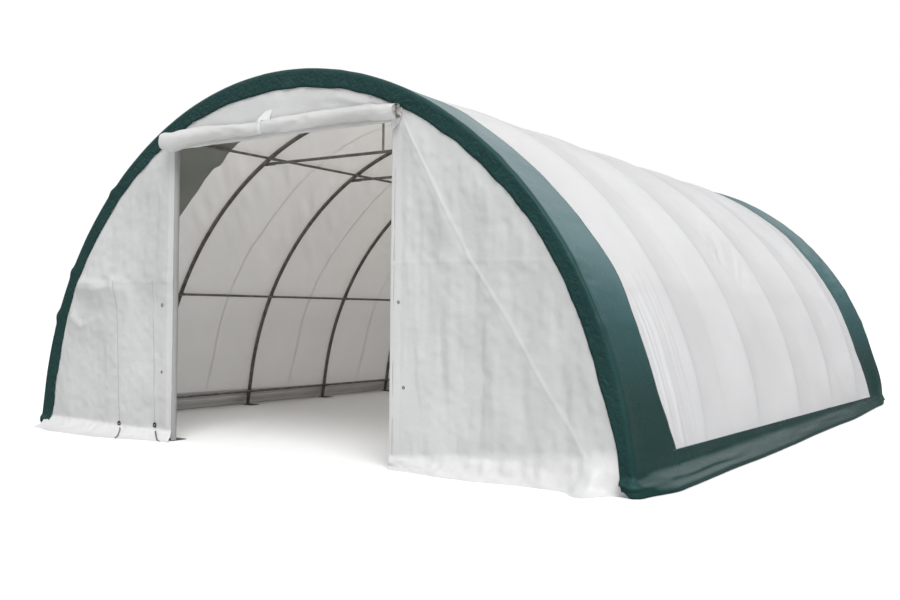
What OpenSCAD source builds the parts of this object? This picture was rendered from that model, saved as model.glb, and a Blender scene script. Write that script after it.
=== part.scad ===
// Fabric storage shelter: a row of bent tube arches joined by purlins, with a
// framed doorway at the front, under a stretched white and green cover.
// +Z is up, the front faces -Y, and the origin is on the ground under the
// middle of the shelter.

/* [Shelter] */
// Width over the cover at the ground
shelter_w = 9144; // [8900:1:9500]
// Height over the cover at the ridge
shelter_h = 4506; // [4420:1:4600]
// Distance from one arch to the next
bay_l = 2000; // [1500:1:2400]
// Number of bays between arches
bays = 6; // [4:2:8]

/* [Arch curve] */
// Height of the straight leg, over the cover
leg_h = 544; // [400:1:700]
// Angle above level where the crown bend meets the side bend
shoulder_a = 62; // [56:1:66]
// Angle above level where the side bend meets the straight leg
leg_a = 9; // [7:1:11]
// Angle of the tube joint half way up a side
side_joint_a = 35.5; // [32:0.5:40]

/* [Tubes] */
// Outer diameter of the arch tubes
arch_d = 60.3; // [50:0.1:70]
// Wall of the arch tubes
arch_wall = 2; // [1.5:0.1:4]
// Length of the reduced end that plugs into the next tube
swage_l = 75; // [50:1:120]
// Length of the neck inside a tube above its reduced end
neck_l = 4; // [3:1:10]
// Side play of a reduced end in its tube
swage_fit = 0.3; // [0.2:0.1:0.6]
// Outer diameter of the purlins and base rails
purlin_d = 38; // [30:0.1:45]
// Step back of the purlin ends from the face of the end arches
purlin_short = 1; // [0:1:6]
// Wall of the purlins and base rails
purlin_wall = 1.6; // [1.2:0.1:3]
// Outer diameter of the collar ties
tie_d = 42.4; // [34:0.1:48]
// Wall of the collar ties
tie_wall = 1.6; // [1.2:0.1:3]
// Outer diameter of the king posts
king_d = 34; // [26:0.1:40]
// Wall of the king posts
king_wall = 1.6; // [1.2:0.1:3]
// Outer diameter of the end wall posts and crossbars
post_d = 60.3; // [50:0.1:70]
// Wall of the end wall posts and crossbars
post_wall = 2; // [1.5:0.1:4]
// Gap between pieces that rest on one another
seat = 0.3; // [0.2:0.1:0.5]

/* [Purlins and ties] */
// Angle of the purlin half way up each side
side_purlin_a = 27; // [26:0.5:29]
// Angle of the purlin on each shoulder
roof_purlin_a = 61.5; // [59:0.5:66]
// Height of the base rails above the ground
base_rail_z = 250; // [220:1:300]
// Depth of the collar ties below the ridge
tie_drop = 661; // [655:1:676]
// Length of the flat tab at each end of a collar tie
tie_tab_l = 150; // [135:1:170]
// Height of the tab
tie_tab_h = 50; // [36:1:56]
// Thickness of the tab
tie_tab_t = 8; // [5:0.5:12]
// Plate thickness of the tube clamps
clamp_t = 3; // [2:0.5:5]
// Length of a clamp's saddle along the arch tube
saddle_l = 90; // [70:1:120]
// Length of a clamp's ring along the purlin
clamp_ring_l = 50; // [36:1:58]
// Depth of the weld between a saddle and its ring
clamp_weld = 1; // [0.6:0.1:1.4]

/* [Feet] */
// Length of a base plate along the shelter
plate_l = 200; // [180:1:260]
// Width of a base plate across the shelter
plate_w = 220; // [200:1:280]
// Thickness of the base plates
plate_t = 8; // [6:1:16]
// Outer edge of a base plate beyond the middle of its leg
plate_edge = 24; // [18:1:26]
// Height of the stub that a leg or post stands over
stub_h = 130; // [90:1:160]
// Wall of the stubs
stub_wall = 4; // [3:0.5:6]
// Side play of a stub in its tube
stub_fit = 0.5; // [0.3:0.1:1]
// Diameter of the anchor holes
anchor_d = 16; // [10:1:20]
// Distance between the two anchor holes of a plate
anchor_pitch = 140; // [120:1:150]
// Distance from the middle of a leg or post to its anchor holes
anchor_inset = 130; // [110:1:150]

/* [Doorway] */
// Clear width between the door posts
door_w = 3480; // [3000:1:3600]
// Clear height under the door header
door_h = 3740; // [3500:1:3760]
// Diameter of the rolled-up door
roll_d = 180; // [150:1:220]
// Drop of the roll below the header
roll_drop = 10; // [0:1:30]
// Reach of the roll beyond the left side of the doorway
roll_left = 110; // [0:1:140]
// Reach of the roll beyond the right side of the doorway
roll_right = 130; // [60:1:200]
// Distance of the roll's strap from the middle of the doorway
strap_x = -150; // [-400:1:400]
// Width of the strap round the roll
strap_w = 60; // [30:1:80]
// Thickness of the strap
strap_t = 3; // [2:0.5:5]

/* [Cover] */
// Thickness of the arch cover
cover_t = 6; // [4:0.5:10]
// Thickness of the end wall panels
wall_t = 5; // [4:0.5:10]
// Thickness of the green edging on the end walls
edging_t = 4; // [3:0.5:6]
// Width of the green edging on the end walls
edging_w = 200; // [150:1:260]
// Width of the green band over each end of the cover
band_w = 1000; // [700:1:1300]
// Height of the green band along the foot of the cover
foot_band_h = 330; // [260:1:420]
// Diameter of the gathered hem along the foot of the cover
hem_d = 110; // [70:1:120]
// Joint in the cover above the side panels
cover_joint_a = 31; // [28.5:0.5:36]
// Height of the skirts at the foot of the end walls
skirt_h = 240; // [180:1:300]
// Reach of the skirts over the ground
skirt_reach = 260; // [245:1:320]
// Thickness of the skirts
skirt_t = 8; // [5:0.5:12]

/* [Hidden] */

// Facets on the wide curves and on the tubes, and steps along the cover
wide_fn = 240;
tube_fn = 32;
cover_steps = 60;
// Cutting and running-on lengths
eps = 1;
past = 60;

// The arch is one crown bend, two side bends and two straight legs, each
// tangent to the next. The radii of both bends follow from the width, the
// height and the leg: the crown's middle has to come to the middle line, and
// its top to the ridge.
leg_top = [shelter_w / 2 - leg_h * tan(leg_a), leg_h];
rise = shelter_h - leg_h;
bend_share = (cos(shoulder_a) - cos(leg_a)) * (1 - sin(shoulder_a))
    + cos(shoulder_a) * (sin(shoulder_a) - sin(leg_a));
side_r = (rise * cos(shoulder_a) - leg_top.x * (1 - sin(shoulder_a))) / bend_share;
crown_r = (leg_top.x * (sin(shoulder_a) - sin(leg_a)) - rise * (cos(leg_a) - cos(shoulder_a))) / bend_share;
crown_c = [0, shelter_h - crown_r];
side_c = leg_top - side_r * [cos(leg_a), sin(leg_a)];

// Depths measured inwards from the outer face of the cover
tube_in = cover_t + seat + arch_d / 2;
ring_r = purlin_d / 2 + seat + clamp_t;
saddle_r = arch_d / 2 + seat + clamp_t;
purlin_in = tube_in + saddle_r + ring_r - clamp_weld;

arch_ys = [for (i = [0 : bays]) (i - bays / 2) * bay_l];
frame_y = bays * bay_l / 2;
wall_y = frame_y + saddle_r + seat;
end_y = wall_y + wall_t;
purlin_l = 2 * (frame_y + arch_d / 2 - purlin_short);
tie_z = shelter_h - tie_drop;
tie_y = arch_d / 2 + seat + tie_tab_t - tie_d / 2;
post_x = door_w / 2 + post_d / 2;
swage_d = arch_d - 2 * (arch_wall + swage_fit);
foot_x = foot_at(0, tube_in).x;
end_shift = (plate_l - arch_d) / 2;

// Points of the right half of the arch as [x, z], at an angle above level or
// at a height on the leg, at a depth under the cover
function bend_c(a) = a > shoulder_a ? crown_c : side_c;
function bend_r(a) = a > shoulder_a ? crown_r : side_r;
function arch_at(a, depth) = bend_c(a) + (bend_r(a) - depth) * [cos(a), sin(a)];
function foot_at(z, depth) =
    let (top = arch_at(leg_a, depth))
    [top.x + (top.y - z) * tan(leg_a), z];
// Rows of points along the cover, with the flats between them on its radius
function bend_row(a0, a1, depth) =
    let (n = ceil((a1 - a0) / 90 * cover_steps), step = (a1 - a0) / n, grow = 1 / cos(step / 2))
    [for (i = [0 : n]) let (a = a0 + i * step)
        bend_c((a0 + a1) / 2) + (bend_r((a0 + a1) / 2) - depth) * grow * [cos(a), sin(a)]];
function half_row(z, depth) =
    concat([foot_at(z, depth)], bend_row(leg_a, shoulder_a, depth), bend_row(shoulder_a, 90, depth));
function reversed(row) = [for (i = [len(row) - 1 : -1 : 0]) row[i]];
function mirrored(row) = [for (p = row) [-p.x, p.y]];
// Where a level line meets the side bend, and an upright line the crown bend
function side_x(z, depth) = side_c.x + sqrt(pow(side_r - depth, 2) - pow(z - side_c.y, 2));
function crown_z(x, depth) = crown_c.y + sqrt(pow(crown_r - depth, 2) - x * x);

// ---- Shared shapes ----

// Turns a drawing in x and z into a solid running along Y from y0 to y1
module along_y(y0, y1) {
    translate([0, y1, 0])
        rotate([90, 0, 0])
            linear_extrude(height = y1 - y0)
                children();
}

module ring(d, wall) {
    difference() {
        circle(d = d, $fn = tube_fn);
        circle(d = d - 2 * wall, $fn = tube_fn);
    }
}

module straight_tube(d, wall, length) {
    linear_extrude(height = length)
        ring(d, wall);
}

// A round bar bent from angle a0 to a1 along the arch tubes' middle line
module bent_bar(a0, a1, middle_a, d) {
    translate([bend_c(middle_a).x, 0, bend_c(middle_a).y])
        rotate([90, 0, 0])
            rotate([0, 0, a0])
                rotate_extrude(angle = a1 - a0, $fn = wide_fn)
                    translate([bend_r(middle_a) - tube_in, 0])
                        circle(d = d, $fn = tube_fn);
}

// An arch tube from a0 to a1 with its lower end reduced, to plug into the tube
// below, and its upper end too where it plugs into the opposite tube
module swaged_tube(a0, a1, both_ends = false) {
    middle_a = (a0 + a1) / 2;
    degrees_per_mm = 180 / PI / (bend_r(middle_a) - tube_in);
    neck_a = neck_l * degrees_per_mm;
    swage_a = swage_l * degrees_per_mm;
    past_a = eps * degrees_per_mm;
    top_a = both_ends ? swage_a : 0;
    difference() {
        union() {
            bent_bar(a0, a1, middle_a, arch_d);
            bent_bar(a0 - swage_a, a1 + top_a, middle_a, swage_d);
        }
        bent_bar(a0 + neck_a, both_ends ? a1 - neck_a : a1 + past_a, middle_a, arch_d - 2 * arch_wall);
        bent_bar(a0 - swage_a - past_a, a1 + top_a + past_a, middle_a, swage_d - 2 * arch_wall);
    }
}

module at_arches() {
    for (y = arch_ys)
        translate([0, y, 0])
            children();
}

// The cover's section between an outer row of points and an inner one
module strip(outer, inner) {
    polygon(concat(outer, reversed(inner)));
}

// An end wall's outline down to height z, at a depth under the cover
module wall_outline(z, depth) {
    polygon(concat(half_row(z, depth), reversed(mirrored(half_row(z, depth)))));
}

// ---- Arches ----

// The straight tube from a base plate up to the side bend
module leg_tube() {
    top = arch_at(leg_a, tube_in);
    difference() {
        translate([top.x, 0, top.y])
            rotate([0, 180 - leg_a, 0])
                straight_tube(arch_d, arch_wall, norm(top - foot_at(0, tube_in)) + past);
        translate([foot_x - past, -past, plate_t - past * 2])
            cube([past * 2, past * 2, past * 2]);
    }
}

module right_leg_tubes() {
    color("#57534e")
        at_arches()
            leg_tube();
}

module left_leg_tubes() {
    color("#57534e")
        mirror([1, 0, 0])
            at_arches()
                leg_tube();
}

module right_side_tubes() {
    color("#57534e")
        at_arches()
            swaged_tube(leg_a, side_joint_a);
}

module left_side_tubes() {
    color("#57534e")
        mirror([1, 0, 0])
            at_arches()
                swaged_tube(leg_a, side_joint_a);
}

module right_shoulder_tubes() {
    color("#57534e")
        at_arches()
            swaged_tube(side_joint_a, shoulder_a);
}

module left_shoulder_tubes() {
    color("#57534e")
        mirror([1, 0, 0])
            at_arches()
                swaged_tube(side_joint_a, shoulder_a);
}

// The right crown tube also plugs into the left one at the ridge
module right_crown_tubes() {
    color("#57534e")
        at_arches()
            swaged_tube(shoulder_a, 90, both_ends = true);
}

module left_crown_tubes() {
    color("#57534e")
        mirror([1, 0, 0])
            at_arches()
                swaged_tube(shoulder_a, 90);
}

// ---- Feet ----

// An upright stub for the foot of a tube, standing through z = 0
module stub(tube_d, tube_wall) {
    translate([0, 0, -past])
        straight_tube(tube_d - 2 * (tube_wall + stub_fit), stub_wall, stub_h + past);
}

// A flat plate with a leaning stub for the leg and two anchor holes. On the
// end arches it is shifted inwards, to stay behind the end wall.
module base_plate(shift) {
    difference() {
        union() {
            translate([foot_x + plate_edge - plate_w, shift - plate_l / 2, 0])
                cube([plate_w, plate_l, plate_t]);
            intersection() {
                translate([foot_x, 0, 0])
                    rotate([0, -leg_a, 0])
                        stub(arch_d, arch_wall);
                translate([foot_x - past, -past, plate_t / 2])
                    cube([past * 2, past * 2, stub_h + past]);
            }
        }
        for (y = [-anchor_pitch / 2, anchor_pitch / 2])
            translate([foot_x - anchor_inset, shift + y, -eps])
                cylinder(d = anchor_d, h = plate_t + 2 * eps, $fn = tube_fn);
    }
}

module base_plates() {
    color("#3f3d3a")
        for (side = [0, 1], i = [0 : bays])
            mirror([side, 0, 0])
                translate([0, arch_ys[i], 0])
                    base_plate(i == 0 ? end_shift : i == bays ? -end_shift : 0);
}

// ---- Purlins and rails ----

module long_tube(x, z) {
    translate([x, -purlin_l / 2, z])
        rotate([-90, 0, 0])
            straight_tube(purlin_d, purlin_wall, purlin_l);
}

module long_tube_pair(p) {
    for (side = [-1, 1])
        long_tube(side * p.x, p.y);
}

module base_rails() {
    color("#6a6560")
        long_tube_pair(foot_at(base_rail_z, tube_in) - (purlin_in - tube_in) * [cos(leg_a), sin(leg_a)]);
}

module side_purlins() {
    color("#6a6560")
        long_tube_pair(arch_at(side_purlin_a, purlin_in));
}

module roof_purlins() {
    color("#6a6560")
        long_tube_pair(arch_at(roof_purlin_a, purlin_in));
}

module ridge_purlin() {
    color("#6a6560")
        long_tube(0, shelter_h - purlin_in);
}

// A saddle round the inner half of an arch tube, welded to a ring round the
// purlin. It is drawn with the arch tube's middle at 0 and outwards along +X.
module tube_clamp() {
    ring_x = tube_in - purlin_in;
    difference() {
        union() {
            intersection() {
                translate([0, 0, -saddle_l / 2])
                    cylinder(r = saddle_r, h = saddle_l, $fn = tube_fn);
                translate([-past, -past, -saddle_l])
                    cube([past + arch_d * 0.12, 2 * past, 2 * saddle_l]);
            }
            translate([ring_x, clamp_ring_l / 2, 0])
                rotate([90, 0, 0])
                    cylinder(r = ring_r, h = clamp_ring_l, $fn = tube_fn);
        }
        translate([0, 0, -saddle_l])
            cylinder(d = arch_d + 2 * seat, h = 2 * saddle_l, $fn = tube_fn);
        translate([ring_x, clamp_ring_l / 2 + eps, 0])
            rotate([90, 0, 0])
                cylinder(d = purlin_d + 2 * seat, h = clamp_ring_l + 2 * eps, $fn = tube_fn);
    }
}

module clamp_at(p, a) {
    translate([p.x, 0, p.y])
        rotate([0, -a, 0])
            tube_clamp();
}

module tube_clamps() {
    color("#8b8680")
        at_arches() {
            clamp_at([0, shelter_h - tube_in], 90);
            for (side = [0, 1])
                mirror([side, 0, 0]) {
                    clamp_at(foot_at(base_rail_z, tube_in), leg_a);
                    clamp_at(arch_at(side_purlin_a, tube_in), side_purlin_a);
                    clamp_at(arch_at(roof_purlin_a, tube_in), roof_purlin_a);
                }
        }
}

// ---- Collar ties and king posts, on the arches between the ends ----

module at_inner_arches() {
    for (i = [1 : bays - 1])
        translate([0, arch_ys[i], 0])
            children();
}

// A level tube whose flat tabs lie against the sides of the two shoulder tubes
module collar_tie() {
    tab_x = side_x(tie_z, tube_in);
    tube_x = tab_x - tie_tab_l;
    translate([-tube_x, tie_y, tie_z])
        rotate([0, 90, 0])
            straight_tube(tie_d, tie_wall, 2 * tube_x);
    for (side = [0, 1])
        mirror([side, 0, 0]) {
            translate([tube_x - tie_tab_h, arch_d / 2 + seat, tie_z - tie_tab_h / 2])
                cube([tie_tab_l + tie_tab_h, tie_tab_t, tie_tab_h]);
            translate([tab_x, arch_d / 2 + seat, tie_z])
                rotate([-90, 0, 0])
                    cylinder(d = tie_tab_h, h = tie_tab_t, $fn = tube_fn);
        }
}

module collar_ties() {
    color("#6a6560")
        at_inner_arches()
            collar_tie();
}

// A short post, coped over the tie below and under the ridge clamp above
module king_post() {
    ridge_z = shelter_h - purlin_in;
    difference() {
        translate([0, tie_y, tie_z])
            straight_tube(king_d, king_wall, ridge_z - tie_z);
        translate([-past, tie_y, tie_z])
            rotate([0, 90, 0])
                cylinder(d = tie_d + 2 * seat, h = 2 * past, $fn = tube_fn);
        translate([0, -past, ridge_z])
            rotate([-90, 0, 0])
                cylinder(r = ring_r + seat, h = 3 * past, $fn = tube_fn);
    }
}

module king_posts() {
    color("#6a6560")
        at_inner_arches()
            king_post();
}

// ---- End wall frames ----

// A post from its plate to the underside of the end arch, coped to fit it
module end_post() {
    top_z = crown_z(post_x, tube_in);
    top_a = acos(post_x / (crown_r - tube_in));
    difference() {
        translate([post_x, 0, plate_t])
            straight_tube(post_d, post_wall, top_z - plate_t - arch_d / 4);
        translate([post_x, 0, top_z])
            rotate([0, -top_a, 0])
                translate([0, 0, -2 * past])
                    cylinder(d = arch_d + 2 * seat, h = 4 * past, $fn = tube_fn);
    }
}

module end_posts() {
    for (side = [0, 1])
        mirror([side, 0, 0])
            end_post();
}

// A level tube between the posts, coped round them
module end_crossbar() {
    difference() {
        translate([-post_x, 0, door_h + post_d / 2])
            rotate([0, 90, 0])
                straight_tube(post_d, post_wall, 2 * post_x);
        for (side = [-1, 1])
            translate([side * post_x, 0, door_h - past])
                cylinder(d = post_d + 2 * seat, h = post_d + 2 * past, $fn = tube_fn);
    }
}

module front_door_posts() {
    color("#6a6560")
        translate([0, -frame_y, 0])
            end_posts();
}

module front_door_header() {
    color("#6a6560")
        translate([0, -frame_y, 0])
            end_crossbar();
}

module rear_wall_posts() {
    color("#6a6560")
        translate([0, frame_y, 0])
            end_posts();
}

module rear_crossbar() {
    color("#6a6560")
        translate([0, frame_y, 0])
            end_crossbar();
}

// A plate with an upright stub, flush with the doorway and inside the wall
module post_plate() {
    difference() {
        union() {
            translate([door_w / 2, -post_d / 2, 0])
                cube([plate_l, plate_w, plate_t]);
            intersection() {
                translate([post_x, 0, 0])
                    stub(post_d, post_wall);
                translate([post_x - past, -past, plate_t / 2])
                    cube([past * 2, past * 2, stub_h + past]);
            }
        }
        for (x = [0, anchor_pitch])
            translate([post_x + x, anchor_inset, -eps])
                cylinder(d = anchor_d, h = plate_t + 2 * eps, $fn = tube_fn);
    }
}

module post_plates() {
    color("#3f3d3a")
        for (end = [0, 1], side = [0, 1])
            mirror([0, end, 0])
                mirror([side, 0, 0])
                    translate([0, -frame_y, 0])
                        post_plate();
}

// ---- Cover over the arches ----

module cover_side() {
    along_y(-end_y + band_w, end_y - band_w)
        strip(concat([foot_at(foot_band_h, 0)], bend_row(leg_a, cover_joint_a, 0)),
            concat([foot_at(foot_band_h, cover_t)], bend_row(leg_a, cover_joint_a, cover_t)));
}

module cover_shoulder() {
    along_y(-end_y + band_w, end_y - band_w)
        strip(bend_row(cover_joint_a, shoulder_a, 0), bend_row(cover_joint_a, shoulder_a, cover_t));
}

module cover_crown() {
    along_y(-end_y + band_w, end_y - band_w)
        strip(bend_row(shoulder_a, 90, 0), bend_row(shoulder_a, 90, cover_t));
}

module right_cover_side() {
    color("#e6e5e4")
        cover_side();
}

module left_cover_side() {
    color("#e6e5e4")
        mirror([1, 0, 0])
            cover_side();
}

module right_cover_shoulder() {
    color("#eceaea")
        cover_shoulder();
}

module left_cover_shoulder() {
    color("#eceaea")
        mirror([1, 0, 0])
            cover_shoulder();
}

module right_cover_crown() {
    color("#f0eff2")
        cover_crown();
}

module left_cover_crown() {
    color("#f0eff2")
        mirror([1, 0, 0])
            cover_crown();
}

// The green band over each end, from the ground to the ridge
module end_band() {
    along_y(-end_y, -end_y + band_w)
        strip(half_row(0, 0), half_row(0, cover_t));
}

module right_front_band() {
    color("#32504b")
        end_band();
}

module left_front_band() {
    color("#32504b")
        mirror([1, 0, 0])
            end_band();
}

module right_rear_band() {
    color("#32504b")
        mirror([0, 1, 0])
            end_band();
}

module left_rear_band() {
    color("#32504b")
        mirror([0, 1, 0])
            mirror([1, 0, 0])
                end_band();
}

// The green band along the foot, with its gathered hem on the ground
module foot_band() {
    low = foot_at(hem_d / 2, 0);
    along_y(-end_y + band_w, end_y - band_w) {
        polygon([foot_at(0, 0), foot_at(foot_band_h, 0),
            foot_at(foot_band_h, cover_t), foot_at(0, cover_t)]);
        difference() {
            translate(low)
                circle(d = hem_d, $fn = tube_fn);
            polygon([foot_at(-hem_d, cover_t), foot_at(hem_d * 2, cover_t),
                low + [-hem_d * 2, hem_d * 2], low + [-hem_d * 2, -hem_d * 2]]);
        }
    }
}

module right_foot_band() {
    color("#32504b")
        foot_band();
}

module left_foot_band() {
    color("#32504b")
        mirror([1, 0, 0])
            foot_band();
}

// ---- End walls ----

module edging() {
    along_y(-end_y - seat - edging_t, -end_y - seat)
        difference() {
            wall_outline(plate_t, 0);
            wall_outline(0, edging_w);
        }
}

module front_edging() {
    color("#2f403f")
        edging();
}

module rear_edging() {
    color("#2f403f")
        mirror([0, 1, 0])
            edging();
}

module front_wall_side() {
    along_y(-end_y, -wall_y)
        difference() {
            wall_outline(0, cover_t + seat);
            translate([door_w / 2 - shelter_w, -past])
                square([shelter_w, shelter_h + 2 * past]);
        }
}

module front_wall_right() {
    color("#c9c9ca")
        front_wall_side();
}

module front_wall_left() {
    color("#c9c9ca")
        mirror([1, 0, 0])
            front_wall_side();
}

module front_wall_top() {
    color("#cfcfcf")
        along_y(-end_y, -wall_y)
            intersection() {
                wall_outline(0, cover_t + seat);
                translate([-door_w / 2, door_h])
                    square([door_w, shelter_h]);
            }
}

module rear_wall() {
    color("#c9c9ca")
        along_y(wall_y, end_y)
            wall_outline(0, cover_t + seat);
}

// A flap that hangs on the wall and lies out over the ground, from x0 to x1
module skirt(x0, x1) {
    face = end_y + seat;
    translate([x0, 0, 0])
        rotate([90, 0, 90])
            linear_extrude(height = x1 - x0)
                polygon([[-face, 0], [-face, skirt_h], [-face - skirt_t, skirt_h],
                    [-face - skirt_t * 2, skirt_h * 0.4], [-face - skirt_h * 0.3, skirt_t * 2],
                    [-face - skirt_reach, skirt_t], [-face - skirt_reach, 0]]);
}

module front_skirts() {
    edge_x = foot_at(skirt_h, edging_w).x - seat;
    color("#c4c4c5")
        for (side = [0, 1])
            mirror([side, 0, 0])
                skirt(door_w / 2, edge_x);
}

module rear_skirt() {
    edge_x = foot_at(skirt_h, edging_w).x - seat;
    color("#c4c4c5")
        mirror([0, 1, 0])
            skirt(-edge_x, edge_x);
}

// ---- Rolled-up door ----

// The roll hangs in its strap, just clear of the edging
module roll_axis() {
    translate([0, -end_y - edging_t - 2 * seat - roll_d / 2, door_h + roll_d / 2 - roll_drop])
        rotate([0, 90, 0])
            children();
}

module rolled_door() {
    color("#e4e3e1")
        translate([-door_w / 2 - roll_left, 0, 0])
            roll_axis()
                cylinder(d = roll_d, h = door_w + roll_left + roll_right, $fn = tube_fn * 2);
}

// A webbing strap round the roll, lying flat on the wall behind it
module roll_strap() {
    color("#efeeee")
        difference() {
            union() {
                translate([strap_x, 0, 0])
                    roll_axis()
                        cylinder(d = roll_d + 2 * (seat + strap_t), h = strap_w, $fn = tube_fn * 2);
                translate([strap_x, -end_y - seat - strap_t, door_h + roll_d / 2])
                    cube([strap_w, strap_t, roll_d]);
            }
            translate([strap_x - eps, 0, 0])
                roll_axis()
                    cylinder(d = roll_d + 2 * seat, h = strap_w + 2 * eps, $fn = tube_fn * 2);
            translate([strap_x - eps, -end_y - seat, 0])
                cube([strap_w + 2 * eps, wall_t + past, shelter_h]);
        }
}

left_leg_tubes();
right_leg_tubes();
left_side_tubes();
right_side_tubes();
left_shoulder_tubes();
right_shoulder_tubes();
left_crown_tubes();
right_crown_tubes();
base_plates();
base_rails();
side_purlins();
roof_purlins();
ridge_purlin();
tube_clamps();
collar_ties();
king_posts();
front_door_posts();
front_door_header();
rear_wall_posts();
rear_crossbar();
post_plates();
left_cover_side();
right_cover_side();
left_cover_shoulder();
right_cover_shoulder();
left_cover_crown();
right_cover_crown();
left_front_band();
right_front_band();
left_rear_band();
right_rear_band();
left_foot_band();
right_foot_band();
front_edging();
rear_edging();
front_wall_left();
front_wall_right();
front_wall_top();
rear_wall();
front_skirts();
rear_skirt();
rolled_door();
roll_strap();
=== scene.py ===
import math

import bmesh
import bpy
import numpy as np
from mathutils import Matrix, Vector


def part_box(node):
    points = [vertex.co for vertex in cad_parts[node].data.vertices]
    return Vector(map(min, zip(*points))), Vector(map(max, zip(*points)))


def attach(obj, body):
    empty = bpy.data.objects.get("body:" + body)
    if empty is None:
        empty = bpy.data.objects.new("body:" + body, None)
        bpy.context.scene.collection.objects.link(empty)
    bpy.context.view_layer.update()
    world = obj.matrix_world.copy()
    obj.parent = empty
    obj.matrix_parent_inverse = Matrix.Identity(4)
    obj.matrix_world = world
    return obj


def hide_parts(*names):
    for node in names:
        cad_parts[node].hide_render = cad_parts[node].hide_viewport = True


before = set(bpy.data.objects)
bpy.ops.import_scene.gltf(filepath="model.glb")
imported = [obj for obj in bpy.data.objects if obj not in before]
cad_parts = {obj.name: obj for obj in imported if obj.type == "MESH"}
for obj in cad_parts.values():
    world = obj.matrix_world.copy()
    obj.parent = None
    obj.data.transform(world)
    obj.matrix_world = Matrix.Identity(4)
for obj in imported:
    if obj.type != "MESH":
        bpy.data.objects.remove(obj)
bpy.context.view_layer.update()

# ---- Camera ----
# It stands low off the front right corner and looks along the front wall, up
# by less than a degree, and is held a little out of level.
stand = Vector((8.015, -14.28, 1.674))
look = Vector((-0.5565, 0.8308, 0.0132)).normalized()
lean = math.radians(0.62)
level = look.cross(Vector((0, 0, 1))).normalized()
upright = level.cross(look)
camera_right = level * math.cos(lean) + upright * math.sin(lean)
camera_up = upright * math.cos(lean) - level * math.sin(lean)
camera = bpy.data.objects.new("camera", bpy.data.cameras.new("camera"))
bpy.context.collection.objects.link(camera)
facing = Matrix((camera_right, camera_up, -look)).transposed().to_4x4()
camera.matrix_world = Matrix.Translation(stand) @ facing
camera.data.sensor_width = 36
camera.data.lens = 38.47
camera.data.clip_end = 200
bpy.context.scene.camera = camera

# ---- Studio ----
# A pale level floor, darker to what mirrors it, under an even white sky that
# is brighter overhead, with one wide soft lamp above the front right corner.


def feed(fed, sources):
    for socket, source in sources.items():
        fed.id_data.links.new(source, fed.inputs[socket])


def node(tree, kind, values=None, sources=None, **settings):
    made = tree.nodes.new("ShaderNode" + kind)
    for setting, value in settings.items():
        setattr(made, setting, value)
    for socket, value in (values or {}).items():
        made.inputs[socket].default_value = value
    feed(made, sources or {})
    return made


def eased(tree, value, start, end, low=0.0, high=1.0, **settings):
    limits = {"From Min": start, "From Max": end, "To Min": low, "To Max": high}
    return node(tree, "MapRange", limits, {"Value": value}, **settings).outputs["Result"]


def shading(name, colour, roughness, metallic=0.0, specular=0.5):
    finish = bpy.data.materials.new(name)
    finish.use_nodes = True
    shader = finish.node_tree.nodes["Principled BSDF"]
    shader.inputs["Base Color"].default_value = (*colour, 1)
    shader.inputs["Roughness"].default_value = roughness
    shader.inputs["Metallic"].default_value = metallic
    shader.inputs["Specular IOR Level"].default_value = specular
    return finish, finish.node_tree, shader


def built(bm, name, finish):
    mesh = bpy.data.meshes.new(name)
    bm.to_mesh(mesh)
    bm.free()
    mesh.materials.append(finish)
    piece = bpy.data.objects.new(name, mesh)
    bpy.context.collection.objects.link(piece)
    return piece


floor_paint, tree, floor_shader = shading("floor_paint", (0.9, 0.9, 0.9), 0.9, specular=0.1)
turf = node(tree, "BsdfDiffuse", {"Color": (0.16, 0.17, 0.16, 1)})
mirrored = node(tree, "LightPath").outputs["Is Glossy Ray"]
floor_mix = node(tree, "MixShader",
                 sources={"Fac": mirrored, 1: floor_shader.outputs[0], 2: turf.outputs[0]})
feed(tree.nodes["Material Output"], {"Surface": floor_mix.outputs[0]})
floor_half = 60
bm = bmesh.new()
bmesh.ops.create_grid(bm, x_segments=4, y_segments=4, size=floor_half)
studio_floor = built(bm, "studio_floor", floor_paint)

sky = bpy.data.worlds.new("sky")
sky.use_nodes = True
bpy.context.scene.world = sky
air = sky.node_tree
backdrop = air.nodes["Background"]
backdrop.inputs["Color"].default_value = (1, 1, 1, 1)
backdrop.inputs["Strength"].default_value = 1.0
heading = node(air, "TexCoord").outputs["Generated"]
overhead = node(air, "SeparateXYZ", sources={0: heading}).outputs["Z"]
brighter_up = eased(air, overhead, 0.275, 0.375, 0.12, 0.90, interpolation_type="SMOOTHSTEP")
daylight = node(air, "Background", {"Color": (0.965, 0.985, 1.0, 1)}, {"Strength": brighter_up})
seen = node(air, "LightPath").outputs["Is Camera Ray"]
either = node(air, "MixShader", sources={"Fac": seen, 1: daylight.outputs[0], 2: backdrop.outputs[0]})
feed(air.nodes["World Output"], {"Surface": either.outputs[0]})

lamp = bpy.data.lights.new("wide_lamp", "SUN")
lamp.energy = 2.35
lamp.angle = math.radians(36)
wide_lamp = bpy.data.objects.new("wide_lamp", lamp)
bpy.context.collection.objects.link(wide_lamp)
towards_lamp = Vector((0.50, -0.48, 0.80))
wide_lamp.rotation_euler = towards_lamp.to_track_quat("Z", "Y").to_euler()
bpy.context.scene.view_settings.view_transform = "Standard"

# ---- Steel tubes ----
# Bent and straight galvanised tubes with swaged ends, dulled by weather. The
# zinc shows as soft grey patches of lighter and darker spangle. The frame under
# the cover is painted dark as painted shade, and the posts paler as painted light.


def mottled(tree, where, scale, detail, low, high, spread):
    noise = node(tree, "TexNoise", {"Scale": scale, "Detail": detail}, {"Vector": where})
    ramp = node(tree, "ValToRGB", sources={"Fac": noise.outputs["Fac"]})
    for stop, position, colour in zip(ramp.color_ramp.elements, spread, (low, high)):
        stop.position = position
        stop.color = (*colour, 1)
    return noise.outputs["Fac"], ramp.outputs["Color"]


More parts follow.
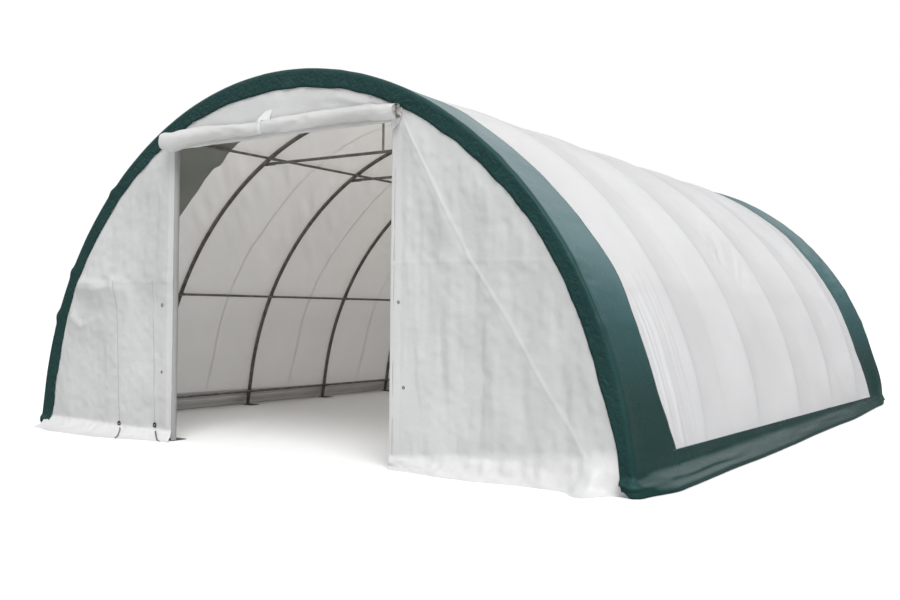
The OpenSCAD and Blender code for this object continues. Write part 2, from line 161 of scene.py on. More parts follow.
def zinc(name, low, high, roughness):
    finish, tree, shader = shading(name, high, roughness, metallic=0.35)
    place = node(tree, "TexCoord").outputs["Object"]
    patches, colour = mottled(tree, place, 9, 8, low, high, (0.35, 0.65))
    spangle = node(tree, "TexVoronoi", {"Scale": 70}, {"Vector": place})
    dull = eased(tree, spangle.outputs["Distance"], 0, 1, roughness - 0.08, roughness + 0.12)
    bump = node(tree, "Bump", {"Strength": 0.15, "Distance": 0.001}, {"Height": patches})
    feed(shader, {"Base Color": colour, "Roughness": dull, "Normal": bump.outputs["Normal"]})
    return finish


def finish_nodes(finish, *names):
    for name in names:
        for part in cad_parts[name].material_slots:
            part.material = finish


# Painted shade on the tubes, purlins, ties and clamps; painted light on the posts.
shaded_tube_zinc = zinc("shaded_tube_zinc", (0.120, 0.111, 0.100), (0.20, 0.188, 0.174), 0.45)
shaded_purlin_zinc = zinc("shaded_purlin_zinc", (0.14, 0.132, 0.122), (0.23, 0.22, 0.205), 0.45)
shaded_clamp_zinc = zinc("shaded_clamp_zinc", (0.12, 0.115, 0.11), (0.22, 0.21, 0.20), 0.4)
plate_zinc = zinc("plate_zinc", (0.045, 0.042, 0.040), (0.10, 0.095, 0.09), 0.55)
lit_post_zinc = zinc("lit_post_zinc", (0.26, 0.25, 0.235), (0.40, 0.385, 0.365), 0.42)
finish_nodes(shaded_tube_zinc, "left_leg_tubes", "right_leg_tubes", "left_side_tubes", "right_side_tubes",
             "left_shoulder_tubes", "right_shoulder_tubes", "left_crown_tubes", "right_crown_tubes")
finish_nodes(shaded_purlin_zinc, "base_rails", "side_purlins", "roof_purlins", "ridge_purlin", "collar_ties")
finish_nodes(shaded_clamp_zinc, "tube_clamps")
finish_nodes(plate_zinc, "base_plates", "post_plates")
finish_nodes(lit_post_zinc, "front_door_posts", "front_door_header", "rear_wall_posts", "rear_crossbar",
             "king_posts")

# ---- Arch line ----
# Every arch is one crown bend, two side bends and two straight legs, each
# tangent to the next. Cloth is placed by its run along this line from the
# ridge, to the right above nought, and by its depth under the cover.
half_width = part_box("right_front_band")[1].x
ridge_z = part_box("right_front_band")[1].z
end_y = -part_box("front_wall_right")[0].y
band_y = -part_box("right_front_band")[1].y
leg_top = 0.544
leg_a = math.radians(9)
shoulder_a = math.radians(62)
top_x = half_width - leg_top * math.tan(leg_a)
rise = ridge_z - leg_top
share = ((math.cos(shoulder_a) - math.cos(leg_a)) * (1 - math.sin(shoulder_a))
         + math.cos(shoulder_a) * (math.sin(shoulder_a) - math.sin(leg_a)))
side_r = (rise * math.cos(shoulder_a) - top_x * (1 - math.sin(shoulder_a))) / share
crown_r = (top_x * (math.sin(shoulder_a) - math.sin(leg_a))
           - rise * (math.cos(leg_a) - math.cos(shoulder_a))) / share
side_x = top_x - side_r * math.cos(leg_a)
side_z = leg_top - side_r * math.sin(leg_a)
crown_run = crown_r * (math.pi / 2 - shoulder_a)
side_run = side_r * (shoulder_a - leg_a)
half_run = crown_run + side_run + leg_top / math.cos(leg_a)


def on_arch(run, depth=0.0):
    side, s = np.sign(run), np.abs(run)
    crown, leg = s < crown_run, s > crown_run + side_run
    angle = np.where(crown, math.pi / 2 - s / crown_r,
                     np.where(leg, leg_a, shoulder_a - (s - crown_run) / side_r))
    down = np.where(leg, s - crown_run - side_run, 0)
    radius = np.where(crown, crown_r, side_r) - depth
    x = np.where(crown, 0, side_x) + radius * np.cos(angle) + down * math.sin(leg_a)
    z = np.where(crown, ridge_z - crown_r, side_z) + radius * np.sin(angle) - down * math.cos(leg_a)
    return side * x, z, side * np.cos(angle), np.sin(angle)


def half_width_at(z, depth=0.0):
    x, height_there, _, _ = on_arch(np.linspace(0, half_run, 2000), depth)
    return np.interp(z, height_there[::-1], x[::-1])


def under_arch(x, z):
    x = np.abs(x)
    in_crown = crown_r - np.hypot(x, z - ridge_z + crown_r)
    in_side = side_r - np.hypot(x - side_x, z - side_z)
    in_leg = (top_x + (leg_top - z) * math.tan(leg_a) - x) * math.cos(leg_a)
    upper = np.where(np.arctan2(z - ridge_z + crown_r, x) > shoulder_a, in_crown, in_side)
    return np.where(z < leg_top, in_leg, upper)


# ---- Bolts and screws ----
# Zinc-plated hexagon heads on washers: four in each clamp's saddle and one in
# its ring, a bolt and nut through each plug joint and through each tie's tab.
bolts = bmesh.new()
arch_r, purlin_r, rail_z = 0.03015, 0.019, 0.25
cover_t, clear, clamp_t, weld, tab_t = 0.006, 0.0003, 0.003, 0.001, 0.008
washer_t = 0.002


def hexagon(at, axis, radius=0.0085, tall=0.006):
    seat = Matrix.Translation(Vector(at)) @ Vector(axis).to_track_quat("Z", "Y").to_matrix().to_4x4()
    washer = (10, 1.35, 1.3, washer_t, 0.0008)
    head = (6, 1.0, 0.88, tall, 0.0018 + tall / 2)
    for corners, low, high, depth, middle in (washer, head):
        bmesh.ops.create_cone(bolts, cap_ends=True, segments=corners, radius1=radius * low,
                              radius2=radius * high, depth=depth,
                              matrix=seat @ Matrix.Translation((0, 0, middle)))


def on_tube(run, depth):
    return [float(v) for v in on_arch(np.float64(run), depth)]


def on_both_sides(*runs):
    return [side * run for run in runs for side in (-1, 1)]


tube_in = cover_t + clear + arch_r
saddle_r = arch_r + clear + clamp_t
ring_r = purlin_r + clear + clamp_t
ring_low = tube_in + saddle_r + ring_r - weld + ring_r
side_purlin_run = crown_run + (shoulder_a - math.radians(27)) * side_r
roof_purlin_run = crown_run + (shoulder_a - math.radians(61.5)) * side_r
rail_run = half_run - rail_z / math.cos(leg_a)
purlin_runs = [0, *on_both_sides(side_purlin_run, roof_purlin_run, rail_run)]
plug_bolt = 0.037
side_joint_run = crown_run + (shoulder_a - math.radians(35.5)) * side_r
joint_runs = on_both_sides(crown_run + side_run + plug_bolt, side_joint_run + plug_bolt,
                           crown_run + 0.02 + plug_bolt) + [-0.062]
arch_y = [2 * i - 6 for i in range(7)]
for y in arch_y:
    for run in purlin_runs:
        x, z, out_x, out_z = on_tube(run, ring_low)
        hexagon((x, y + 0.012, z), (-out_x, 0, -out_z), 0.006, 0.004)
        for along in (-0.03, 0.03):
            x, z, _, _ = on_tube(run + along, tube_in)
            for face in (-1, 1):
                hexagon((x, y + face * (saddle_r - 0.0005), z), (0, face, 0), 0.0065, 0.0045)
    for run in joint_runs:
        x, z, _, _ = on_tube(run, tube_in)
        for face in (-1, 1):
            hexagon((x, y + face * arch_r, z), (0, face, 0))
tie_low, tie_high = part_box("collar_ties")
tie_z = (tie_low.z + tie_high.z) / 2
tie_x = float(half_width_at(tie_z, tube_in))
for y in arch_y[1:-1]:
    for side in (-1, 1):
        for face, out in ((1, arch_r + clear + tab_t), (-1, arch_r)):
            hexagon((side * tie_x, y + face * out, tie_z), (0, face, 0), 0.0095, 0.007)
frame_bolts = built(bolts, "frame_bolts", shaded_clamp_zinc)
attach(frame_bolts, "root")

# ---- White cover ----
# Five welded widths of white woven polyethylene, one over each arch between
# the green ends, pulled down tight. The cloth stands up as a crest on each
# arch and hangs in between them, with pleats behind the front band.


# Smooth waves between -1 and 1, from lots drawn at the corners of a grid.
def ripple(u, v, seed):
    i, j = np.floor(u), np.floor(v)
    f, g = u - i, v - j
    f, g = f * f * (3 - 2 * f), g * g * (3 - 2 * g)

    def lot(a, b):
        h = np.sin(a * 127.1 + b * 311.7 + seed * 74.7) * 43758.5453
        return 2 * (h - np.floor(h)) - 1
    return ((lot(i, j) * (1 - f) + lot(i + 1, j) * f) * (1 - g)
            + (lot(i, j + 1) * (1 - f) + lot(i + 1, j + 1) * f) * g)


# Each row of ripples is a depth, a size along u, a size along v and a seed.
def ripples(u, v, *rows):
    return sum(deep * ripple(u / wide, v / long, seed) for deep, wide, long, seed in rows)


def bell(v, width):
    return np.exp(-(v / width) ** 2)


def ramp_up(v, start, end):
    t = np.clip((v - start) / (end - start), 0, 1)
    return t * t * (3 - 2 * t)


# The loose hem beyond the base rail swells out, rests on the ground and turns
# back in: its turn is added up along it to how far out and down it has gone.
belly_run = np.linspace(0, 0.46, 93)
belly_turn = (math.radians(64) * ramp_up(belly_run, 0.0, 0.12)
              - math.radians(154) * ramp_up(belly_run, 0.31, 0.40))
belly_out = np.cumsum(np.sin(belly_turn)) * belly_run[1]
belly_fall = np.cumsum(np.cos(belly_turn)) * belly_run[1]
hem_top = float(belly_fall.max()) + 0.004
hem_run = half_run - hem_top / math.cos(leg_a)
sheet_end = hem_run + belly_run[-1]
ground_clear = 0.002
ridge_sag, side_sag = 0.020, 0.038


def hem_out(beyond):
    return np.interp(beyond, belly_run, belly_out)


def hem_z(beyond):
    return hem_top - np.interp(beyond, belly_run, belly_fall)


def hem_on_arch(beyond, s):
    return np.where(beyond > 0, half_run - hem_z(beyond) / math.cos(leg_a), s)


def over_rail(s):
    return 1 - ramp_up(s, hem_run - 0.35, hem_run + 0.1)


def in_hem_folds(beyond):
    return ramp_up(beyond, 0.0, 0.10) * (1 - ramp_up(beyond, 0.24, 0.34))


def dip(run, y):
    s, side = np.abs(run), np.sign(run)
    bay = (y + 6) / 2
    t = bay - np.floor(bay)
    from_arch = np.minimum(t, 1 - t) * 2
    slack = 0.032 * (bell(s - 3.6, 0.7) + bell(s - 6.1, 0.5)) * (1 - ramp_up(np.abs(y), 3.9, 4.7))
    hang = (ridge_sag + side_sag * ramp_up(s, 1.0, 3.2) + slack) * (1 - 0.6 * ramp_up(s, 6.0, 6.95))
    depth = hang * (1 - np.abs(2 * t - 1) ** 1.5)
    # Slack waves between the arches, and fine ones close to them.
    loose = ramp_up(from_arch, 0.0, 0.25)
    depth += loose * ripples(s, y, (0.0060, 0.42, 0.7, 3 + side), (0.0028, 0.12, 0.45, 5 + side))
    depth += bell(from_arch - 0.18, 0.16) * ripples(s, y, (0.0022, 0.055, 0.6, 8 + side))
    # Upright pleats low down behind the front band.
    pleats = ramp_up(s, 4.4, 5.6) * (1 - ramp_up(y, -4.5, -4.05)) * ramp_up(y, -5.03, -4.96)
    depth += pleats * (0.012 * ripple(y / 0.066 + 0.3 * ripple(s / 0.9, y, 1), s / 1.9, 11)
                       + 0.004 * ripple(y / 0.036, s / 1.4, 12))
    # Slanting folds on the right, and fainter ones one bay further back.
    twisted = bell(s - 4.25, 0.45) * ramp_up(y, -1.5, -1.0) * (1 - ramp_up(y, -0.4, -0.05)) * (run > 0)
    depth += twisted * 0.018 * ripple((s + 0.75 * y) / 0.11, (y - 0.3 * s) / 0.55, 15)
    twisted = bell(s - 3.4, 0.7) * ramp_up(y, 0.1, 0.4) * (1 - ramp_up(y, 1.2, 1.8))
    depth += twisted * 0.007 * ripple((s + 0.6 * y) / 0.10, y / 0.5, 17)
    # Slanting folds on the left, which show from inside.
    inner = ramp_up(y, -5.9, -5.3) * (1 - ramp_up(y, -1.6, -0.6)) * (run < 0)
    inner = inner * ramp_up(s, 1.0, 2.2) * (1 - ramp_up(s, 4.4, 5.0))
    depth += inner * 0.030 * ripple((s - (y + 4)) / 0.18, (y + s) / 0.9, 21) * loose
    # No fold hangs far below the purlins, and none as deep as the side purlin.
    most = ridge_sag + side_sag + slack
    spare = np.maximum(depth - most, 0)
    return np.minimum(depth, most + 0.3 * spare * (1 - bell(s - side_purlin_run, 0.3)))


def foot_swell(y, side):
    reach = (0.80 + 0.08 * ripple(y / 1.3, side * 3.0 + 0 * y, 31)) * (1 - 0.55 * ramp_up(y, 2.0, 5.6))
    return reach * (1 - 0.85 * ramp_up(-y, 5.1, 5.9) * (side < 0))


def front_edge(run):
    edge = -0.12 * bell(run - 3.1, 0.9) + 0.06 * bell(run - 4.8, 0.35) - 0.04 * bell(run - 5.5, 0.35)
    edge = edge + 0.12 * ramp_up(run, 6.1, 6.7)
    return -band_y + edge + 0.30 * ramp_up(-run, 0.0, 2.6) * (1 - ramp_up(-run, 5.4, 6.6))


def rear_edge(run):
    return band_y - 0.26 * ramp_up(run, 3.0, 4.6) * (1 - ramp_up(run, 5.9, 6.6))


def foot_folds(y, beyond, side):
    drawn = beyond + 0.05 * ripple(y / 0.7, 0 * y, 32)
    deep = 0.011 + 0.012 * ramp_up(-y, 3.4, 5.2)
    return ripples(y, drawn, (deep, 1.3, 0.085, 33 + side), (0.002, 0.6, 0.05, 35 + side))


def corner_folds(y, beyond):
    slanting = 0.042 * ripple(y / 0.5 + beyond / 0.3, beyond / 0.075, 37)
    return slanting + 0.012 * ripple(y / 0.2, beyond / 0.06, 38)


def cover_point(run, y, lift=0.0):
    s, side = np.abs(run), np.sign(run)
    beyond = np.maximum(s - hem_run, 0)
    fold = foot_folds(y, beyond, side) + ramp_up(np.abs(y), 5.1, 5.95) * corner_folds(y, beyond)
    out = hem_out(beyond) * foot_swell(y, side) + fold * in_hem_folds(beyond)
    depth = dip(run, y) * over_rail(s) - out - lift
    x, z, out_x, out_z = on_arch(side * hem_on_arch(beyond, s), depth)
    z = z - out * out_z * ramp_up(beyond, 0.0, 0.1)
    return x, y + 0 * x, np.maximum(z, ground_clear)


def cut_cloth(name, across, along, cells, place, finish, crowding=1, unit=(1, 1)):
    bm = bmesh.new()
    bmesh.ops.create_grid(bm, x_segments=cells[0], y_segments=cells[1], size=1)
    cloth = built(bm, name, finish)
    mesh = cloth.data
    spot = np.empty(len(mesh.vertices) * 3, np.float32)
    mesh.vertices.foreach_get("co", spot)
    spot = spot.reshape(-1, 3).astype(float)
    spot[:, 1] = np.sign(spot[:, 1]) * np.abs(spot[:, 1]) ** crowding
    u = across[0] + (spot[:, 0] + 1) / 2 * (across[1] - across[0])
    v = along[0] + (spot[:, 1] + 1) / 2 * (along[1] - along[0])
    x, y, z = place(u, v)
    mesh.vertices.foreach_set("co", np.stack([x, y, z], 1).astype(np.float32).ravel())
    threads = mesh.uv_layers.new(name="cloth")
    corner = np.empty(len(mesh.loops), np.int32)
    mesh.loops.foreach_get("vertex_index", corner)
    uv = np.stack([u * unit[0], v * unit[1]], 1)[corner]
    threads.data.foreach_set("uv", uv.astype(np.float32).ravel())
    mesh.polygons.foreach_set("use_smooth", np.ones(len(mesh.polygons), bool))
    mesh.update()
    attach(cloth, "root")
    return cloth


def worked(tree, operation, *terms):
    made = node(tree, "Math", operation=operation)
    for number, term in enumerate(terms):
        if isinstance(term, (int, float)):
            made.inputs[number].default_value = term
        else:
            tree.links.new(term, made.inputs[number])
    return made.outputs[0]


def woven(name, low, high, roughness, let_through=0.0, tint=None, specular=0.5, scale=0.9,
          weave=0.12, creased=0.35):
    finish, tree, shader = shading(name, high, roughness, specular=specular)
    threads = node(tree, "UVMap", uv_map="cloth").outputs["UV"]
    place = node(tree, "TexCoord").outputs["Object"]
    patches, colour = mottled(tree, place, scale, 5, low, high, (0.3, 0.7))
    rough = eased(tree, patches, 0, 1, roughness - 0.06, roughness + 0.08)
    tapes = [node(tree, "TexWave", {"Scale": 100, "Distortion": 0.3}, {"Vector": threads},
                  bands_direction=direction).outputs["Fac"] for direction in ("X", "Y")]
    fine = node(tree, "Bump", {"Strength": weave, "Distance": 0.0005},
                {"Height": worked(tree, "MAXIMUM", *tapes)})
    crumple = node(tree, "TexNoise", {"Scale": 14, "Detail": 6, "Distortion": 0.6}, {"Vector": place})
    soft = node(tree, "Bump", {"Strength": creased, "Distance": 0.006},
                {"Height": crumple.outputs["Fac"], "Normal": fine.outputs["Normal"]}).outputs["Normal"]
    feed(shader, {"Base Color": colour, "Roughness": rough, "Normal": soft})
    if let_through:
        glow = node(tree, "BsdfTranslucent", {"Color": (*tint, 1)}, {"Normal": soft})
        both = node(tree, "MixShader", {"Fac": let_through}, {1: shader.outputs[0], 2: glow.outputs[0]})
        feed(tree.nodes["Material Output"], {"Surface": both.outputs[0]})
    return finish


def reading(tree, axis, reader="Texture Coordinate", output="Object"):
    return node(tree, "SeparateXYZ", sources={0: tree.nodes[reader].outputs[output]}).outputs[axis]


white_cloth = woven("white_cloth", (0.78, 0.78, 0.80), (0.86, 0.86, 0.88), 0.42, 0.38,
                    (0.72, 0.69, 0.64))
seam_cloth = woven("seam_cloth", (0.76, 0.76, 0.78), (0.83, 0.83, 0.85), 0.42, 0.36,
                   (0.68, 0.65, 0.605))

# Low on the sides, below the side purlin, the cloth is painted to let a little
# less daylight through, as painted shade.
tree = white_cloth.node_tree
shaded_below = eased(tree, reading(tree, "Z"), 1.5, 2.1)
through = node(tree, "Mix", {"A": (0.605, 0.573, 0.527, 1), "B": (0.735, 0.698, 0.640, 1)},
               {"Factor": shaded_below}, data_type="RGBA")
feed(tree.nodes["Translucent BSDF"], {"Color": through.outputs["Result"]})

cover_nodes = ["left_cover_side", "right_cover_side", "left_cover_shoulder",
               "right_cover_shoulder", "left_cover_crown", "right_cover_crown"]
foot_run = half_run - 0.33 / math.cos(leg_a)
under_run = half_run - 0.17 / math.cos(leg_a)
seam_y = (-3, -1, 1, 3)
seam_w = 0.028
for number, (front, back) in enumerate(zip((-band_y, *seam_y), (*seam_y, band_y)), 1):
    pleated = number == 1

    def width_point(run, y, front=front, back=back):
        if front == -band_y:
            y = back + (y - back) / (front - back) * (front_edge(run) - back)
        if back == band_y:
            y = front + (y - front) / (back - front) * (rear_edge(run) - front)
        return cover_point(run, y, -0.003 * ramp_up(np.abs(run), foot_run - 0.06, foot_run))

    panel = cut_cloth(f"cover_width_{number}", (-under_run, under_run), (front, back),
                      (420, 130 if pleated else 58), width_point, white_cloth, 1 if pleated else 1.5)
    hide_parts(*cover_nodes)
for number, y in enumerate(seam_y, 1):
    seam = cut_cloth(f"cover_seam_{number}", (-foot_run, foot_run), (y - seam_w / 2, y + seam_w / 2),
                     (400, 2), lambda u, v: cover_point(u, v, 0.0015), seam_cloth)

# ---- Green ends of the cover ----
# One wide green sheet over each end arch, welded to the white, glossy outside
# and grey inside. It turns over the arch and down on to the end wall, where
# its gathered inner hem puckers.
turn_r = 0.034
band_flat = end_y + 0.005 - turn_r - band_y
turn_run = turn_r * math.pi / 2
edging_w = 0.165
q_end = band_flat + turn_run + edging_w
green_cloth = woven("green_cloth", (0.010, 0.036, 0.033), (0.015, 0.045, 0.041), 0.26,
                    specular=0.28, scale=1.6, weave=0.008, creased=0.07)
green_inside = woven("green_inside", (0.21, 0.225, 0.20), (0.27, 0.28, 0.255), 0.6, specular=0.3)
# The foot's inner face is painted near white, as painted light from inside.
lit_foot_inside = woven("lit_foot_inside", (0.80, 0.79, 0.77), (0.88, 0.87, 0.85), 0.6, specular=0.3)


def paler(tree, amount, colour):
    shader = tree.nodes["Principled BSDF"]
    plain = shader.inputs["Base Color"].links[0].from_socket
    mixed = node(tree, "Mix", {"B": (*colour, 1)}, {"Factor": amount, "A": plain}, data_type="RGBA")
    feed(shader, {"Base Color": mixed.outputs["Result"]})


# The hem is puckered and dull, and the upper part of the outside is painted
# paler and bluer, as a painted sheen of the sky.
tree = green_cloth.node_tree
green_shader = tree.nodes["Principled BSDF"]
green_shader.inputs["Specular Tint"].default_value = (0.55, 0.93, 1.0, 1)
towards_hem = reading(tree, "X", "UV Map", "UV")
pinches = node(tree, "TexNoise", {"Scale": 11, "Detail": 3, "Distortion": 1.2},
               {"Vector": tree.nodes["Texture Coordinate"].outputs["Object"]})
puckered = node(tree, "Bump", {"Distance": 0.026},
                {"Strength": eased(tree, towards_hem, 0.99, 1.05), "Height": pinches.outputs["Fac"],
                 "Normal": green_shader.inputs["Normal"].links[0].from_socket})
hem_rough = worked(tree, "MAXIMUM", eased(tree, towards_hem, 0.93, 0.99, 0, 0.48),
                   green_shader.inputs["Roughness"].links[0].from_socket)
feed(green_shader, {"Normal": puckered.outputs["Normal"], "Roughness": hem_rough})
painted_sky_sheen = worked(tree, "MULTIPLY", eased(tree, reading(tree, "Z"), 0.8, 2.3),
                  eased(tree, towards_hem, 0.91, 0.985, 1, 0))
paler(tree, painted_sky_sheen, (0.045, 0.115, 0.122))


def end_cloth(sign):
    def place(q, run):
        s, side = np.abs(run), np.sign(run)
        turned = np.clip((q - band_flat) / turn_run, 0, 1) * math.pi / 2
        calm = np.cos(turned)
        # The edging is wider over the doorway and low on the left.
        down = np.maximum(q - band_flat - turn_run, 0)
        wider = (1 + 0.26 * bell(run + 0.3, 1.5) + 0.14 * ramp_up(-run, 1.8, 2.4)
                 + 0.30 * ramp_up(-run, 4.8, 6.2) - 0.12 * bell(run - 4.3, 0.9)
                 - 0.36 * ramp_up(run, 5.9, 6.7))
        down = down * wider * (1 + 0.06 * ripple(run / 0.22, 0 * run, 41) * ramp_up(down, 0.05, 0.2))
        start = front_edge(run) if sign > 0 else -rear_edge(run)
        y = (start - np.minimum(q, band_flat) / band_flat * (band_flat + start + band_y)
             - turn_r * np.sin(turned))
        inset = turn_r * (1 - calm) + down
        # The foot swells out as the green foot's hem does, less at the corner.
        beyond = np.maximum(s - hem_run, 0)
        fold = (foot_folds(y * sign, beyond, side)
                + ramp_up(q, 0.1, 0.9) * (0.02 + corner_folds(q, beyond)))
        near_turn = ramp_up(q, band_flat - 0.55, band_flat + turn_run)
        round_off = 1 - (0.75 if sign > 0 else 0.62) * near_turn
        out = hem_out(beyond) * foot_swell(y * sign, side) * round_off + fold * in_hem_folds(beyond)
        outwards = (out + np.hypot(out, 0.012)) / 2 - 0.006 * (1 - ramp_up(beyond, 0.0, 0.1))
        out = np.where(beyond > 0, outwards, out)
        out -= dip(run, y * sign) * over_rail(s) * calm
        # Gathers in the edging, and the knots of its cord under the turn.
        pucker = (ripple(run / 0.085 + 0.5 * ripple(run / 0.4, down / 0.1, 43), down / 0.35, 44) ** 2
                  + 0.6 * ripple(run / 0.045, down / 0.2, 45) ** 2)
        out += 0.024 * pucker * ramp_up(down, 0.0, 0.2) ** 1.2 * (down > 0)
        tight = ramp_up(q, band_flat - 0.3, band_flat) * (1 - ramp_up(down, 0.0, 0.12))
        for bump, stand in ((3.37, 0.020), (4.74, 0.022), (5.43, 0.030)):
            out += stand * bell(s - bump, 0.08) * tight * np.where(side < 0, 1, 0.35)
        out += 0.003 * ripple(run / 0.16, q / 0.4, 46) * tight
        if sign < 0:
            out += 0.06 * bell(s - half_run + 0.40, 0.42) * ramp_up(q, 0.2, 0.8)
        x, z, out_x, out_z = on_arch(side * hem_on_arch(beyond, s), inset)
        x = x + out * calm * out_x
        z = z + out * calm * out_z * (1 - ramp_up(beyond, 0.0, 0.1))
        y = y - np.maximum(out, 0.003) * np.sin(turned)
        if sign > 0:
            z = z + 0.07 * ramp_up(down, 0.0, 0.10) * ramp_up(beyond, 0.08, 0.36) * (side > 0)
        return x, sign * y, np.maximum(z, ground_clear)
    return place


def lined(cloth, inside):
    cloth.data.materials.append(inside)
    lining = cloth.modifiers.new("lining", "SOLIDIFY")
    lining.thickness = 0.0015
    lining.offset = -1
    lining.material_offset = 1


for end, sign in (("front", 1), ("rear", -1)):
    green_end = cut_cloth(f"{end}_green_end", (0, q_end) if sign > 0 else (q_end, 0),
                          (-sheet_end, sheet_end), (42, 540), end_cloth(sign), green_cloth)
    lined(green_end, green_inside)
    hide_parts(f"left_{end}_band", f"right_{end}_band", f"{end}_edging")

# ---- Green foot of the cover ----
# A green strip is welded along the foot of each side, a little lower at the
# rear. Its loose hem is bunched up on the ground outside, in long soft folds.
for side, name in ((-1, "left"), (1, "right")):
    def foot_point(u, y, side=side):
        weld_z = 0.325 - 0.0135 * (y + band_y)
        start = np.where(weld_z > hem_top, half_run - weld_z / math.cos(leg_a),
                         hem_run + np.interp(hem_top - weld_z, belly_fall, belly_run))
        s = start + np.abs(u) * (sheet_end - start)
        lap = 0.002 - 0.004 * ramp_up(np.abs(y), band_y - 0.05, band_y - 0.01)
        return cover_point(side * s, y, lap)

    foot = cut_cloth(f"{name}_green_foot", (0, 1) if side > 0 else (-1, 0),
                     (-band_y - 0.04, band_y + 0.04), (34, 300), foot_point, green_cloth,
                     unit=(sheet_end - foot_run, 1))
    lined(foot, lit_foot_inside)
    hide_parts(f"{name}_foot_band")

# ---- Front wall ----
# Three white panels laced to the end arch and the door frame: one on each side
# of the doorway and one over it. They hang in soft upright folds, with creases
# from when they lay folded, and run out over the ground as skirts.
# The wall cloth is painted greyer than the cover's, as painted shade on the upright walls.
wall_cloth = woven("wall_cloth", (0.53, 0.53, 0.532), (0.66, 0.66, 0.662), 0.42, 0.2,
                   (0.70, 0.69, 0.66), creased=0.6)
door_x = -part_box("front_wall_top")[0].x
door_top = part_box("front_wall_top")[0].z

# Low down and over the skirts the wall cloth is painted paler, as painted light,
# and along the doorway it is doubled.
tree = wall_cloth.node_tree
hem_w = 0.125
uneven = node(tree, "TexNoise", {"Scale": 4},
              {"Vector": tree.nodes["Texture Coordinate"].outputs["Object"]})
up_panel = worked(tree, "MULTIPLY_ADD", uneven.outputs["Fac"], 0.12, reading(tree, "Y", "UV Map", "UV"))
painted_light_low = eased(tree, up_panel, 0.10, -0.03)
from_middle = worked(tree, "ABSOLUTE", reading(tree, "X"))
doubled = eased(tree, from_middle, door_x + hem_w, door_x + hem_w - 0.01, 0, 0.35)
paler(tree, worked(tree, "MAXIMUM", painted_light_low, doubled), (0.75, 0.745, 0.745))


far_off = 9.0


# How near a spot on the wall is to a crease that runs along a path.
def crease(x, z, path, width):
    near = np.full(np.shape(x), far_off)
    for (x0, z0), (x1, z1) in zip(path, path[1:]):
        long_x, long_z = x1 - x0, z1 - z0
        t = np.clip(((x - x0) * long_x + (z - z0) * long_z) / (long_x ** 2 + long_z ** 2), 0, 1)
        near = np.minimum(near, np.hypot(x - x0 - t * long_x, z - z0 - t * long_z))
    return bell(near, width)


def wall_folds(x, z, side):
    free = ramp_up(np.abs(x), door_x, door_x + 0.25)
    upright_free = free * (1 if side > 0 else 0.45)
    fold = 0.014 * (1 + ripple(x / 0.30, z / 2.2, 51 + side)) * free
    wavering = ripple(x / 0.12 + 0.4 * ripple(x / 0.3, z / 0.5, 52), z / 0.9, 53 + side)
    fold += (0.012 * wavering + ripples(x, z, (0.0035, 0.06, 0.6, 55 + side))) * upright_free
    fold += ripples(x, z, (0.0065, 0.3, 0.20, 57 + side), (0.0050, 0.09, 0.08, 58 + side)) * free
    # A welded seam across, with the cloth crumpled along it.
    seam_z, crumpled_z = (2.03, 2.12) if side < 0 else (2.20, 2.20)
    crumpled = (0.5 + ripple(x / 0.12, z / 0.09, 59 + side)) * free
    return fold + 0.004 * bell(z - seam_z, 0.016) + 0.010 * bell(z - crumpled_z, 0.13) * crumpled


def right_folds(x, z):
    fold = wall_folds(x, z, 1)
    # One long crease runs from the header down to the foot of the arch.
    path = ((1.87, 3.74), (2.75, 2.20), (3.11, 1.74), (3.56, 1.05), (3.94, 0.51), (4.05, 0.32))
    fold += (0.0075 + 0.002 * ripple(x / 0.11, z / 0.11, 60)) * crease(x, z, path, 0.018)
    fold += 0.007 * crease(x + 0.035, z + 0.02, path, 0.05)
    low = ramp_up(x, 3.3, 4.0) * (1 - ramp_up(z, 0.7, 1.3))
    fold += low * ripples(x, z, (0.014, 0.13, 0.22, 61), (0.007, 0.07, 0.1, 62))
    # Upright folds below, and folds that lean with the arch above.
    past_jamb = ramp_up(x, door_x, 2.1)
    fold += 0.013 * (1 - ramp_up(z, 1.3, 2.1)) * ripple((x + 0.08 * z) / 0.13, z / 1.4, 63) * past_jamb
    fold += 0.015 * ramp_up(z, 1.9, 2.6) * ripple((x + 0.36 * z) / 0.14, z / 0.9, 64) * past_jamb
    return fold


def left_folds(x, z):
    fold = wall_folds(x, z, -1)
    outer = ramp_up(-x, 2.7, 3.8)
    fold += 0.022 * outer * bell(z - 1.97, 0.16) * (1 + ripple(x / 0.35, z / 0.11, 66))
    fold += 0.009 * bell(z - 1.98, 0.2) * (1 + ripple(x / 0.22 + z / 0.3, z / 0.075, 69))
    fold += 0.012 * ramp_up(-x, 3.6, 4.2) * bell(z - 1.58 + 0.25 * (x + 4.0), 0.07)
    slanting = ripple((x + 0.8 * z) / 0.22, (z - x) / 0.5, 67) * (1 - ramp_up(z, 1.2, 1.7))
    fold += 0.008 * ramp_up(-x, 3.2, 4.1) * slanting
    fold += 0.005 * (1 - ramp_up(z, 0.5, 1.2)) * ripple(x / 0.25, z / 0.14, 68)
    # Short creases from packing, each with a shallow bulge under it.
    for path in (((-3.83, 1.57), (-3.62, 1.43), (-3.22, 1.56)), ((-3.64, 2.07), (-3.26, 2.01)),
                 ((-3.34, 1.92), (-2.95, 1.99)), ((-2.92, 2.07), (-2.73, 2.07))):
        fold += 0.020 * crease(x, z, path, 0.05) + 0.022 * crease(x, z + 0.09, path, 0.13)
    return fold


wall_in = 0.045
wall_face = end_y - 0.0005
off_wall = 0.0005
skirt_v = 0.12
wall_top = float(on_arch(np.float64(crown_r * math.asin(door_x / crown_r)), wall_in)[1]) - 0.01


